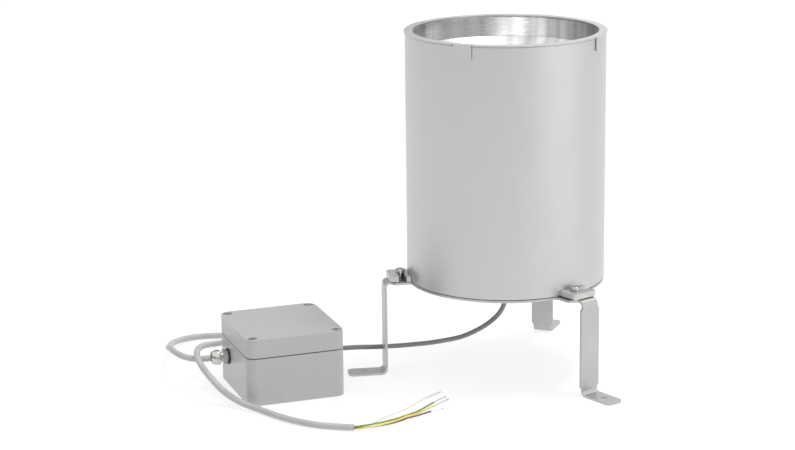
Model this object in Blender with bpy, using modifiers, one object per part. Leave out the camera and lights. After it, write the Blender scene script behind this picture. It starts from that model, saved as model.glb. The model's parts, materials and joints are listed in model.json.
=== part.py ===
"""Tipping-bucket rain gauge on three bent legs, with its signal cable and a cable junction box.

Metres, +Z up. z = 0 is the ground that the feet and the box stand on. The origin is the middle of
the footprint. The gauge stands on its own vertical axis, and the box is turned a little.
"""
import math

import bmesh
import bpy
import numpy as np
from mathutils import Matrix, Vector

# ---------------------------------------------------------------- driving dimensions
GAP = 0.0003                        # between pieces that touch
GAUGE_XY = (0.0788, -0.0088)        # gauge axis, seen from the middle of the footprint
ROUND_STEPS = 72                    # facets of the big turned pieces
SMALL_STEPS = 16                    # facets of the small turned pieces

# collector
APERTURE_RADIUS = 0.0798            # 200 square centimetres
RING_RADIUS = 0.0870
RING_TOP = 0.3005
RING_SHEET = 0.0012
TAB_WIDTH = 0.0162
TAB_LENGTH = 0.0120
TAB_COUNT = 4
TAB_FIRST_DEG = 66.0
FUNNEL_WALL = 0.0010
FUNNEL_DEPTH = 0.0185               # height of the straight wall above the cone
FUNNEL_SLOPE_DEG = 45.0
SPOUT_RADIUS = 0.0045
SPOUT_END = 0.1720

# housing
TUBE_RADIUS = 0.0862
TUBE_WALL = 0.0015
TUBE_TOP = RING_TOP - RING_SHEET - GAP

# base frame: one sheet, a round plate with three arms bent down into legs
SHEET = 0.0020
PLATE_TOP = 0.0840
PLATE_BOTTOM = PLATE_TOP - SHEET
PLATE_RADIUS = 0.0860
LEG_ANGLES_DEG = (191.3, 311.3, 71.3)
LEG_FACE = 0.1085                   # radius of a leg's outer face
LEG_WIDTH = 0.0202
NECK_WIDTH = 0.0168                 # at the two bends and along the foot
BEND_INNER = 0.0030
FOOT_END = 0.1405
FOOT_HOLE_AT = 0.1262
FOOT_HOLE_RADIUS = 0.0028
FOOT_CORNER = 0.0045
TUBE_BOTTOM = PLATE_TOP + 2 * GAP

# clamp blocks and their screws
BLOCK_BOTTOM = PLATE_TOP + 2 * GAP
BLOCK_TOP = 0.0895
BLOCK_FACE = 0.1040
BLOCK_CORNER = 0.0025
BLOCK_MOUTH = 0.0128                # the slot opens this far along the tube
SLOT_RADIUS = 0.0026
SCREW_AT = 0.0928                   # radius of the clamp screws' circle
SCREW_SIDE = -0.0030
M4 = 0.0020                         # radius
CLAMP_HEAD_RADIUS = 0.0041
CLAMP_HEAD_HEIGHT = 0.0030

# tipping mechanism
PIVOT_Z = 0.1180
TIP_DEG = 12.5                      # each way from level
BUCKET_HALF = 0.0450
BUCKET_WIDTH = 0.0280
BUCKET_HEIGHT = 0.0300
BUCKET_SHEET = 0.0012
BUCKET_FLOOR = 0.0042               # underside above the pivot axis, at the middle
FLOOR_RISE_DEG = 4.0
SHAFT_RADIUS = 0.0015
UPRIGHT_Y = 0.0190                  # middle of each bracket upright
UPRIGHT_SHEET = 0.0020
STOP_X = 0.0325
DRAIN_X = 0.0500

# cable glands (all three alike)
SEAL_RADIUS = 0.0069
SEAL_LENGTH = 0.0012
HEX_RADIUS = 0.0065
HEX_LENGTH = 0.0038
NECK_RADIUS = 0.0046
NECK_LENGTH = 0.0020
NUT_RADIUS = 0.0066
NUT_LENGTH = 0.0080
GLAND_BORE = 0.0031
THREAD_RADIUS = 0.0050

# junction box
BOX_XY = (GAUGE_XY[0] - 0.1923, GAUGE_XY[1] - 0.0597)
BOX_TURN_DEG = 22.2
BOX_WIDTH = 0.0860
BOX_DEPTH = 0.0916
BOX_TOP = 0.0578
BOX_SEAM = 0.0414
SEAM_GAP = 0.0009                   # filled by the gasket
BOX_CORNER = 0.0085
BOX_WALL = 0.0030
PILLAR = 0.0140                     # side of the solid corner that holds a lid screw
LID_SCREW_XY = (0.0368, 0.0396)
GLAND_SIDE = 0.0165                 # glands sit this far behind the box's middle
LEFT_GLAND_Z = 0.0268
RIGHT_GLAND_Z = 0.0220

# cables
GAUGE_CABLE_RADIUS = 0.0021
OUTPUT_CABLE_RADIUS = 0.00275
WIRE_RADIUS = 0.0007

# routes, relative to the gauge axis, from gland to gland or to the loose end
GAUGE_CABLE_ROUTE = [
    (-0.1460, -0.0230, 0.0220), (-0.1310, -0.0168, 0.0212), (-0.1180, -0.0120, 0.0200),
    (-0.1080, -0.0087, 0.0194), (-0.0950, -0.0052, 0.0191), (-0.0810, -0.0024, 0.0195),
    (-0.0650, -0.0004, 0.0207), (-0.0450, 0.0000, 0.0243), (-0.0350, 0.0000, 0.0274),
    (-0.0250, 0.0000, 0.0322), (-0.0150, 0.0000, 0.0385), (-0.0062, 0.0000, 0.0468),
    (-0.0012, 0.0000, 0.0560), (0.0000, 0.0000, 0.0674),
]
OUTPUT_CABLE_ROUTE = [
    (-0.2521, -0.0663, 0.0268), (-0.2569, -0.0682, 0.0268), (-0.2638, -0.0698, 0.0268),
    (-0.2707, -0.0690, 0.0273), (-0.2770, -0.0662, 0.0281), (-0.2821, -0.0616, 0.0287),
    (-0.2874, -0.0535, 0.0290), (-0.2924, -0.0400, 0.0272), (-0.2962, -0.0240, 0.0228),
    (-0.2990, -0.0070, 0.0172), (-0.3012, 0.0120, 0.0118), (-0.3028, 0.0340, 0.0080),
    (-0.3005, 0.0515, 0.0050), (-0.2945, 0.0645, 0.0033), (-0.2860, 0.0712, 0.0029),
    (-0.2750, 0.0745, 0.0029), (-0.2620, 0.0760, 0.0029), (-0.2400, 0.0770, 0.0029),
    (-0.2150, 0.0770, 0.0029), (-0.1925, 0.0768, 0.0029), (-0.1738, 0.0688, 0.0029),
    (-0.1662, 0.0502, 0.0029), (-0.1738, 0.0316, 0.0030), (-0.1925, 0.0240, 0.0036),
    (-0.2110, 0.0230, 0.0062), (-0.2320, 0.0210, 0.0105), (-0.2490, 0.0090, 0.0168),
    (-0.2585, -0.0120, 0.0222), (-0.2628, -0.0330, 0.0277), (-0.2645, -0.0510, 0.0314),
    (-0.2650, -0.0640, 0.0327), (-0.2640, -0.0730, 0.0325), (-0.2624, -0.0808, 0.0311),
    (-0.2602, -0.0864, 0.0294), (-0.2565, -0.0928, 0.0266), (-0.2508, -0.1000, 0.0222),
    (-0.2435, -0.1068, 0.0167), (-0.2352, -0.1130, 0.0112), (-0.2218, -0.1220, 0.0060),
    (-0.2038, -0.1336, 0.0033), (-0.1855, -0.1498, 0.0029), (-0.1680, -0.1620, 0.0029),
    (-0.1510, -0.1700, 0.0029), (-0.1345, -0.1735, 0.0029), (-0.1230, -0.1748, 0.0029),
]
BUNDLE_START_STEP = (0.0019, 0.0002, 0.0)
BUNDLE_BEND = (-0.0945, -0.1638)
BUNDLE_END = (-0.0815, -0.1462)     # where the wires part
BUNDLE_TURNS = 0.25
BUNDLE_RADIUS = 0.0013
BUNDLE_STEPS = 12
WIRE_ORDER_DEG = {"wire_white": 135, "wire_green": 45, "wire_yellow": -45, "wire_brown": -135}
WHITE_LEAVES = 3                    # the white wire leaves the bundle at this step
WIRE_REST = WIRE_RADIUS + 0.0001    # height of a wire that lies on the ground
WIRE_FANS = {
    "wire_white": [(-0.1040, -0.1585, 0.0032), (-0.0985, -0.1500, 0.0031), (-0.0890, -0.1375, 0.0028),
                   (-0.0793, -0.1215, 0.0022), (-0.0685, -0.0985, 0.0014), (-0.0552, -0.0779, WIRE_REST)],
    "wire_green": [(-0.0769, -0.1388, 0.0027), (-0.0722, -0.1300, 0.0016), (-0.0622, -0.1091, WIRE_REST),
                   (-0.0506, -0.0901, WIRE_REST)],
    "wire_yellow": [(-0.0768, -0.1420, 0.0024), (-0.0722, -0.1338, 0.0012), (-0.0609, -0.1161, WIRE_REST),
                    (-0.0478, -0.0966, WIRE_REST)],
    "wire_brown": [(-0.0721, -0.1385, WIRE_REST), (-0.0621, -0.1288, WIRE_REST),
                   (-0.0519, -0.1217, WIRE_REST)],
}

# ---------------------------------------------------------------- materials
FINISHES = {
    "silver_housing": ((0.62, 0.63, 0.63), 0.34, 1.0),
    "brushed_collector": ((0.72, 0.72, 0.71), 0.22, 1.0),
    "stainless_sheet": ((0.66, 0.66, 0.65), 0.30, 1.0),
    "clamp_metal": ((0.60, 0.61, 0.58), 0.40, 1.0),
    "screw_steel": ((0.70, 0.70, 0.72), 0.22, 1.0),
    "bucket_steel": ((0.58, 0.59, 0.60), 0.28, 1.0),
    "magnet": ((0.20, 0.20, 0.21), 0.45, 0.8),
    "bush_plastic": ((0.88, 0.87, 0.82), 0.45, 0.0),
    "board_green": ((0.05, 0.23, 0.11), 0.45, 0.0),
    "glass": ((0.80, 0.88, 0.84), 0.05, 0.0),
    "terminal_plastic": ((0.35, 0.38, 0.40), 0.50, 0.0),
    "box_paint": ((0.50, 0.51, 0.51), 0.25, 0.0),
    "gland_brass": ((0.74, 0.73, 0.70), 0.18, 1.0),
    "rubber_black": ((0.02, 0.02, 0.02), 0.60, 0.0),
    "gasket_grey": ((0.28, 0.28, 0.28), 0.60, 0.0),
    "cable_dark": ((0.15, 0.15, 0.16), 0.45, 0.0),
    "cable_light": ((0.55, 0.56, 0.56), 0.40, 0.0),
    "wire_white": ((0.86, 0.86, 0.84), 0.40, 0.0),
    "wire_brown": ((0.22, 0.09, 0.05), 0.40, 0.0),
    "wire_green": ((0.05, 0.30, 0.10), 0.40, 0.0),
    "wire_yellow": ((0.85, 0.70, 0.08), 0.40, 0.0),
}


def clear_scene():
    for obj in list(bpy.data.objects):
        bpy.data.objects.remove(obj, do_unlink=True)


def make_materials():
    made = {}
    for slot, (colour, roughness, metallic) in FINISHES.items():
        material = bpy.data.materials.new(slot)
        material.use_nodes = True
        shader = material.node_tree.nodes["Principled BSDF"]
        shader.inputs["Base Color"].default_value = (*colour, 1.0)
        shader.inputs["Roughness"].default_value = roughness
        shader.inputs["Metallic"].default_value = metallic
        made[slot] = material
    return made


clear_scene()
MATERIALS = make_materials()
PARTS = bpy.data.collections.new("rain_gauge")
CUTTERS = bpy.data.collections.new("cutters")
bpy.context.scene.collection.children.link(PARTS)
bpy.context.scene.collection.children.link(CUTTERS)


# ---------------------------------------------------------------- modelling helpers
def add_frame(name, location, turn_deg=0.0):
    """An empty that a group of pieces is placed in."""
    frame = bpy.data.objects.new(name, None)
    frame.location = location
    frame.rotation_euler = (0, 0, math.radians(turn_deg))
    bpy.context.scene.collection.objects.link(frame)
    return frame


GAUGE = add_frame("gauge_axis", (*GAUGE_XY, 0.0))
BOX = add_frame("box_frame", (*BOX_XY, 0.0), BOX_TURN_DEG)


def add_object(name, data, slot, parent, matrix=None):
    """Link a piece, or a cutter when it has no material slot."""
    obj = bpy.data.objects.new(name, data)
    if slot is None:
        CUTTERS.objects.link(obj)
        obj.hide_render = True
        obj.display_type = "WIRE"
    else:
        PARTS.objects.link(obj)
        data.materials.append(MATERIALS[slot])
    obj.parent = parent
    if matrix is not None:
        obj.matrix_local = matrix
    return obj


def place(x=0.0, y=0.0, z=0.0, turn_deg=0.0):
    return Matrix.Translation((x, y, z)) @ Matrix.Rotation(math.radians(turn_deg), 4, "Z")


def smooth(mesh):
    mesh.shade_smooth()
    mesh.set_sharp_from_angle(angle=math.radians(35))


def add_box(name, size, slot, parent, matrix=None, round_edges=0.0):
    mesh = bpy.data.meshes.new(name)
    cube = bmesh.new()
    bmesh.ops.create_cube(cube, size=1.0)
    bmesh.ops.scale(cube, vec=size, verts=cube.verts)
    cube.to_mesh(mesh)
    cube.free()
    obj = add_object(name, mesh, slot, parent, matrix)
    if round_edges:
        bevel = obj.modifiers.new("round_edges", "BEVEL")
        bevel.width = round_edges
        bevel.segments = 2
    return obj


def add_cylinder(name, radius, length, slot, parent, matrix=None, steps=SMALL_STEPS):
    """A cylinder or, with few steps, a prism, along local Z and centred."""
    mesh = bpy.data.meshes.new(name)
    shape = bmesh.new()
    bmesh.ops.create_cone(shape, cap_ends=True, segments=steps, radius1=radius, radius2=radius, depth=length)
    shape.to_mesh(mesh)
    shape.free()
    if steps > 8:
        smooth(mesh)
    return add_object(name, mesh, slot, parent, matrix)


def add_turned(name, profile, slot, parent, matrix=None, steps=SMALL_STEPS, closed=True):
    """Turn a profile of (radius, height) points about local Z, outer side from top to bottom.

    A closed profile is a ring's section. An open one starts and ends on the axis.
    """
    mesh = bpy.data.meshes.new(name)
    section = bmesh.new()
    verts = [section.verts.new((radius, 0.0, height)) for radius, height in profile]
    for first, second in zip(verts, verts[1:]):
        section.edges.new((first, second))
    if closed:
        section.edges.new((verts[-1], verts[0]))
    section.to_mesh(mesh)
    section.free()
    obj = add_object(name, mesh, slot, parent, matrix)
    screw = obj.modifiers.new("turn", "SCREW")
    screw.steps = steps
    screw.render_steps = steps
    screw.use_merge_vertices = True
    screw.merge_threshold = 0.00001
    screw.use_smooth_shade = True
    return obj


def add_outline(name, points, bottom, top, slot, parent, matrix=None):
    """A flat plate: a closed outline of (x, y) points, from one height to another."""
    curve = bpy.data.curves.new(name, "CURVE")
    curve.dimensions = "2D"
    curve.fill_mode = "BOTH"
    curve.extrude = (top - bottom) / 2
    spline = curve.splines.new("POLY")
    spline.points.add(len(points) - 1)
    for point, (x, y) in zip(spline.points, points):
        point.co = (x, y, 0.0, 1.0)
    spline.use_cyclic_u = True
    source = bpy.data.objects.new(name, curve)
    bpy.context.scene.collection.objects.link(source)
    graph = bpy.context.evaluated_depsgraph_get()
    mesh = bpy.data.meshes.new_from_object(source.evaluated_get(graph))
    bpy.data.objects.remove(source, do_unlink=True)
    bpy.data.curves.remove(curve)
    welded = bmesh.new()
    welded.from_mesh(mesh)
    bmesh.ops.remove_doubles(welded, verts=welded.verts, dist=0.000001)
    bmesh.ops.translate(welded, verts=welded.verts, vec=(0, 0, (top + bottom) / 2))
    bmesh.ops.recalc_face_normals(welded, faces=welded.faces)
    welded.to_mesh(mesh)
    welded.free()
    mesh.materials.clear()
    mesh.name = name
    return add_object(name, mesh, slot, parent, matrix)


def combine(obj, tool, operation):
    boolean = obj.modifiers.new(operation.lower(), "BOOLEAN")
    boolean.operation = operation
    boolean.object = tool
    return obj


def cut(obj, *tools):
    for tool in tools:
        combine(obj, tool, "DIFFERENCE")
    return obj


def join(obj, *tools):
    for tool in tools:
        combine(obj, tool, "UNION")
    return obj


def arc(centre, radius, start_deg, end_deg, steps=4):
    """Points along an arc, both ends included."""
    return [(centre[0] + radius * math.cos(math.radians(a)), centre[1] + radius * math.sin(math.radians(a)))
            for a in np.linspace(start_deg, end_deg, steps + 1)]


def rounded_rectangle(half_x, half_y, corner, steps=5):
    points = []
    for sign_x, sign_y, start in ((1, 1, 0), (-1, 1, 90), (-1, -1, 180), (1, -1, 270)):
        centre = (sign_x * (half_x - corner), sign_y * (half_y - corner))
        points += arc(centre, corner, start, start + 90, steps)
    return points


def smooth_route(points, spacing):
    """Points of a smooth curve through a route's points, about one spacing apart."""
    route = [Vector(p) for p in points]
    route = [2 * route[0] - route[1], *route, 2 * route[-1] - route[-2]]
    fine = []
    for before, start, end, after in zip(route, route[1:], route[2:], route[3:]):
        for t in np.arange(0, 1, 0.02):
            fine.append(0.5 * (2 * start + (end - before) * t
                               + (2 * before - 5 * start + 4 * end - after) * t ** 2
                               + (3 * start - before - 3 * end + after) * t ** 3))
    fine.append(route[-2])
    fine = np.array([tuple(p) for p in fine])
    run = np.concatenate([[0], np.cumsum(np.linalg.norm(np.diff(fine, axis=0), axis=1))])
    count = max(2, round(run[-1] / spacing) + 1)
    marks = np.linspace(0, run[-1], count)
    return [tuple(float(np.interp(mark, run, fine[:, axis])) for axis in range(3)) for mark in marks]


def add_cord(name, route, radius, slot, spacing):
    curve = bpy.data.curves.new(name, "CURVE")
    curve.dimensions = "3D"
    curve.bevel_depth = radius
    curve.bevel_resolution = 2
    curve.render_resolution_u = 0
    curve.use_fill_caps = True
    points = smooth_route(route, spacing)
    spline = curve.splines.new("POLY")
    spline.points.add(len(points) - 1)
    for point, place_at in zip(spline.points, points):
        point.co = (*place_at, 1.0)
    return add_object(name, curve, slot, GAUGE)


# ---------------------------------------------------------------- collector
def build_collector():
    under = RING_TOP - RING_SHEET
    ring = add_turned("collector_ring", [
        (RING_RADIUS, RING_TOP), (RING_RADIUS, under), (APERTURE_RADIUS, under), (APERTURE_RADIUS, RING_TOP),
    ], "silver_housing", GAUGE, steps=ROUND_STEPS)
    inner = TUBE_RADIUS + GAP
    outer = inner + RING_SHEET
    skirt = add_turned("tab_skirt", [
        (outer, RING_TOP), (outer, RING_TOP - TAB_LENGTH), (inner, RING_TOP - TAB_LENGTH), (inner, RING_TOP),
    ], None, GAUGE, steps=ROUND_STEPS)
    cross = add_box("tab_cross", (0.2, TAB_WIDTH, 0.04), None, GAUGE, place(z=RING_TOP, turn_deg=TAB_FIRST_DEG))
    cross_2 = add_box("tab_cross_2", (TAB_WIDTH, 0.2, 0.04), None, GAUGE, place(z=RING_TOP, turn_deg=TAB_FIRST_DEG))
    join(cross, cross_2)
    combine(skirt, cross, "INTERSECT")
    join(ring, skirt)
    relief_at = TAB_WIDTH / 2 + 0.0007
    for number in range(TAB_COUNT):
        turn = TAB_FIRST_DEG + number * 360 / TAB_COUNT
        for side in (-1, 1):
            relief = add_box(f"tab_relief_{number}_{side}", (0.005, 0.0010, 0.006), None, GAUGE,
                             place(z=RING_TOP, turn_deg=turn) @ Matrix.Translation((0.0875, side * relief_at, 0)))
            cut(ring, relief)

    cone_top = RING_TOP - FUNNEL_DEPTH
    slope = math.tan(math.radians(FUNNEL_SLOPE_DEG))
    inside = APERTURE_RADIUS - 0.0005
    outside = inside + FUNNEL_WALL
    spout_outside = SPOUT_RADIUS + FUNNEL_WALL
    spout_top = cone_top - (inside - SPOUT_RADIUS) * slope
    flange = TUBE_RADIUS - TUBE_WALL - GAP
    add_turned("funnel", [
        (flange, under - GAP), (flange, under - GAP - FUNNEL_WALL), (outside, under - GAP - FUNNEL_WALL),
        (outside, cone_top - FUNNEL_WALL * 0.4), (spout_outside, spout_top - FUNNEL_WALL * 0.4),
        (spout_outside, SPOUT_END), (SPOUT_RADIUS, SPOUT_END), (SPOUT_RADIUS, spout_top),
        (inside, cone_top), (inside, under - GAP),
    ], "brushed_collector", GAUGE, steps=ROUND_STEPS)

    screen_radius = 0.0110
    seat = spout_top + (screen_radius - SPOUT_RADIUS) * slope + GAP
    screen = add_turned("debris_screen", [
        (0, seat + 0.0110), (screen_radius * 0.55, seat + 0.0100), (screen_radius, seat + 0.0060),
        (screen_radius, seat), (screen_radius - 0.0010, seat), (screen_radius - 0.0010, seat + 0.0055),
        (screen_radius * 0.5, seat + 0.0092), (0, seat + 0.0100),
    ], "brushed_collector", GAUGE, steps=SMALL_STEPS, closed=False)
    for number in range(3):
        slot = add_box(f"screen_slot_{number}", (0.030, 0.0020, 0.0055), None, GAUGE,
                       place(z=seat + 0.0046, turn_deg=30 + 60 * number))
        cut(screen, slot)


# ---------------------------------------------------------------- housing
def clamp_outline():
    """Clamp block seen from above: x is away from the gauge axis, y along the tube."""
    back = -0.0135
    side = 0.0085
    corner = BLOCK_CORNER
    root = TUBE_RADIUS - 0.002
    return [
        (root, back), *arc((BLOCK_FACE - corner, back + corner), corner, 270, 360, 3),
        *arc((BLOCK_FACE - corner, side), corner, 0, 50, 2), (SCREW_AT + SLOT_RADIUS + 0.0010, BLOCK_MOUTH),
        (SCREW_AT + SLOT_RADIUS, BLOCK_MOUTH - 0.0020), *arc((SCREW_AT, SCREW_SIDE), SLOT_RADIUS, 0, -180, 8),
        (SCREW_AT - SLOT_RADIUS, BLOCK_MOUTH - 0.0020), (SCREW_AT - SLOT_RADIUS - 0.0008, BLOCK_MOUTH),
        (root, BLOCK_MOUTH),
    ]


def build_housing():
    add_turned("housing_tube", [
        (TUBE_RADIUS, TUBE_TOP), (TUBE_RADIUS, TUBE_BOTTOM),
        (TUBE_RADIUS - TUBE_WALL, TUBE_BOTTOM), (TUBE_RADIUS - TUBE_WALL, TUBE_TOP),
    ], "silver_housing", GAUGE, steps=ROUND_STEPS)
    hug = add_cylinder("clamp_hug", TUBE_RADIUS + GAP, 0.03, None, GAUGE, place(z=BLOCK_TOP), steps=ROUND_STEPS)
    for number, angle in enumerate(LEG_ANGLES_DEG, start=1):
        block = add_outline(f"clamp_block_{number}", clamp_outline(), BLOCK_BOTTOM, BLOCK_TOP, "clamp_metal",
                            GAUGE, place(turn_deg=angle))
        cut(block, hug)
        at = place(turn_deg=angle) @ Matrix.Translation((SCREW_AT, SCREW_SIDE, 0))
        head_bottom = BLOCK_TOP + GAP
        head_top = head_bottom + CLAMP_HEAD_HEIGHT
        screw = add_turned(f"clamp_screw_{number}", [
            (0, head_top), (CLAMP_HEAD_RADIUS - 0.0005, head_top), (CLAMP_HEAD_RADIUS, head_top - 0.0006),
            (CLAMP_HEAD_RADIUS, head_bottom),
            (M4, head_bottom), (M4, PLATE_BOTTOM - 0.0020), (0, PLATE_BOTTOM - 0.0020),
        ], "screw_steel", GAUGE, at, closed=False)
        driver_slot = add_box(f"clamp_screw_slot_{number}", (0.010, 0.0011, 0.0026), None, GAUGE,
                              at @ place(z=head_top, turn_deg=35))
        cut(screw, driver_slot)


# ---------------------------------------------------------------- base frame
def leg_profile():
    """Side view of one leg: x is the distance from the gauge axis, y the height."""
    inner_face = LEG_FACE - SHEET
    outer_bend = BEND_INNER + SHEET
    knee = (LEG_FACE - outer_bend, PLATE_TOP - outer_bend)
    ankle = (LEG_FACE + BEND_INNER, SHEET + BEND_INNER)
    return [
        (0.0900, PLATE_TOP), *arc(knee, outer_bend, 90, 0), *arc(ankle, BEND_INNER, 180, 270),
        (FOOT_END, SHEET), (FOOT_END, 0.0), *arc(ankle, outer_bend, 270, 180),
        (inner_face, knee[1]), *arc(knee, BEND_INNER, 0, 90)[1:], (0.0900, PLATE_BOTTOM),
    ]


def leg_face_outline(half, neck):
    """Leg seen from outside: x along the tube, y up. The strip has sloping shoulders at both bends."""
    step = half - neck
    low = SHEET + BEND_INNER + 0.0015
    high = PLATE_BOTTOM - BEND_INNER - 0.0015
    return [(-neck, -0.01), (neck, -0.01), (neck, low), (half, low + step), (half, high - step), (neck, high),
            (neck, 0.10), (-neck, 0.10), (-neck, high), (-half, high - step), (-half, low + step), (-neck, low)]


def build_base():
    base = add_cylinder("base_frame", PLATE_RADIUS, SHEET, "stainless_sheet", GAUGE,
                        place(z=PLATE_TOP - SHEET / 2), steps=ROUND_STEPS)
    stand_up = Matrix.Rotation(math.radians(90), 4, "X")
    half = LEG_WIDTH / 2
    neck = NECK_WIDTH / 2
    corner = FOOT_CORNER
    arm_end = neck - 0.0004
    arm = [(0.0700, -0.0160), (0.0990, -0.0160), (0.1030, -arm_end), (0.1030, arm_end), (0.0995, 0.0122),
           (0.0700, 0.0122)]
    footprint = [(0.0880, -half), (0.1120, -half), (0.1120, -neck),
                 *arc((FOOT_END - corner, -neck + corner), corner, 270, 360),
                 *arc((FOOT_END - corner, neck - corner), corner, 0, 90),
                 (0.1120, neck), (0.1120, half), (0.0880, half)]
    face_on = leg_face_outline(half, neck)
    from_outside = stand_up @ Matrix.Rotation(math.radians(90), 4, "Y")
    for number, angle in enumerate(LEG_ANGLES_DEG, start=1):
        turn = place(turn_deg=angle)
        arm_plate = add_outline(f"arm_{number}", arm, PLATE_BOTTOM, PLATE_TOP, None, GAUGE, turn)
        leg = add_outline(f"leg_{number}", leg_profile(), -0.013, 0.013, None, GAUGE, turn @ stand_up)
        plan = add_outline(f"leg_plan_{number}", footprint, -0.01, 0.10, None, GAUGE, turn)
        front = add_outline(f"leg_front_{number}", face_on, 0.08, 0.15, None, GAUGE, turn @ from_outside)
        combine(leg, plan, "INTERSECT")
        combine(leg, front, "INTERSECT")
        join(base, arm_plate, leg)
        foot_hole = add_cylinder(f"foot_hole_{number}", FOOT_HOLE_RADIUS, 0.02, None, GAUGE,
                                 turn @ Matrix.Translation((FOOT_HOLE_AT, 0, 0)))
        screw_hole = add_cylinder(f"screw_hole_{number}", M4 + GAP, 0.02, None, GAUGE,
                                  turn @ Matrix.Translation((SCREW_AT, SCREW_SIDE, PLATE_TOP)), steps=16)
        cut(base, foot_hole, screw_hole)
    gland_hole = add_cylinder("base_gland_hole", THREAD_RADIUS + GAP, 0.02, None, GAUGE, place(z=PLATE_TOP))
    cut(base, gland_hole)
    for side in (-1, 1):
        drain_hole = add_cylinder(f"drain_hole_{side}", 0.0050, 0.02, None, GAUGE,
                                  place(side * DRAIN_X, 0, PLATE_TOP))
        cut(base, drain_hole)


# ---------------------------------------------------------------- tipping mechanism
def build_bracket():
    foot_top = PLATE_TOP + GAP + UPRIGHT_SHEET
    foot = add_box("bearing_bracket", (0.0240, 2 * UPRIGHT_Y + UPRIGHT_SHEET, UPRIGHT_SHEET), "stainless_sheet",
                   GAUGE, place(z=foot_top - UPRIGHT_SHEET / 2))
    for side, top in ((-1, PIVOT_Z + 0.0090), (1, PIVOT_Z + 0.0360)):
        height = top - PLATE_TOP - GAP
        upright = add_box(f"upright_{side}", (0.0160, UPRIGHT_SHEET, height), None, GAUGE,
                          place(0, side * UPRIGHT_Y, PLATE_TOP + GAP + height / 2))
        join(foot, upright)
    along_y = Matrix.Rotation(math.radians(90), 4, "X")
    bearing_hole = add_cylinder("bearing_hole", 0.0035, 0.06, None, GAUGE, place(z=PIVOT_Z) @ along_y)
    room = add_cylinder("gland_room", 0.0085, 0.01, None, GAUGE, place(z=PLATE_TOP))
    cut(foot, bearing_hole, room)
    for side, name in ((-1, "pivot_bush_front"), (1, "pivot_bush_rear")):
        turned = Matrix.Rotation(math.radians(-90 * side), 4, "X")
        add_turned(name, [
            (0.0050, 0.0013), (0.0050, 0.0003), (0.0032, 0.0003), (0.0032, -0.0020),
            (SHAFT_RADIUS + GAP, -0.0020), (SHAFT_RADIUS + GAP, 0.0013),
        ], "bush_plastic", GAUGE, place(0, side * (UPRIGHT_Y + UPRIGHT_SHEET / 2), PIVOT_Z) @ turned)


def bucket_outline():
    """Side view of the level bucket about its pivot: x along the bucket, y up."""
    rise = math.tan(math.radians(FLOOR_RISE_DEG))
    end = BUCKET_FLOOR + BUCKET_HALF * rise
    top = BUCKET_FLOOR + BUCKET_HEIGHT
    return [(0, BUCKET_FLOOR), (BUCKET_HALF, end), (BUCKET_HALF, end + 0.004), (0.007, top), (-0.007, top),
            (-BUCKET_HALF, end + 0.004), (-BUCKET_HALF, end)]


def chamber_outline(side):
    rise = math.tan(math.radians(FLOOR_RISE_DEG))
    floor = BUCKET_FLOOR + BUCKET_SHEET
    wall = BUCKET_SHEET / 2
    reach = BUCKET_HALF + 0.01
    points = [(wall, floor + wall * rise), (reach, floor + reach * rise), (reach, 0.06), (wall, 0.06)]
    return [(side * x, y) for x, y in points]


def build_bucket():
    pivot = add_frame("bucket_pivot", (0, 0, PIVOT_Z))
    pivot.parent = GAUGE
    pivot.rotation_euler = (0, math.radians(-TIP_DEG), 0)
    side_view = Matrix.Rotation(math.radians(90), 4, "X")
    half = BUCKET_WIDTH / 2
    bucket = add_outline("tipping_bucket", bucket_outline(), -half, half, "bucket_steel", pivot, side_view)
    for side, name in ((-1, "left"), (1, "right")):
        chamber = add_outline(f"chamber_{name}", chamber_outline(side), -half + BUCKET_SHEET, half - BUCKET_SHEET,
                              None, pivot, side_view)
        cut(bucket, chamber)
    hub = add_cylinder("bucket_hub", 0.0036, BUCKET_WIDTH, None, pivot, side_view)
    web = add_box("bucket_web", (0.0050, BUCKET_WIDTH, BUCKET_FLOOR + 0.0004), None, pivot,
                  Matrix.Translation((0, 0, BUCKET_FLOOR / 2 + 0.0002)))
    bore = add_cylinder("bucket_bore", SHAFT_RADIUS + GAP, 0.06, None, pivot, side_view)
    join(bucket, web, hub)
    cut(bucket, bore)
    add_cylinder("pivot_shaft", SHAFT_RADIUS, 0.0440, "screw_steel", pivot, side_view)
    add_box("bucket_magnet", (0.0090, 0.0025, 0.0050), "magnet", pivot,
            Matrix.Translation((0, half + GAP + 0.00125, BUCKET_FLOOR + 0.0240)), round_edges=0.0004)


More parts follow.
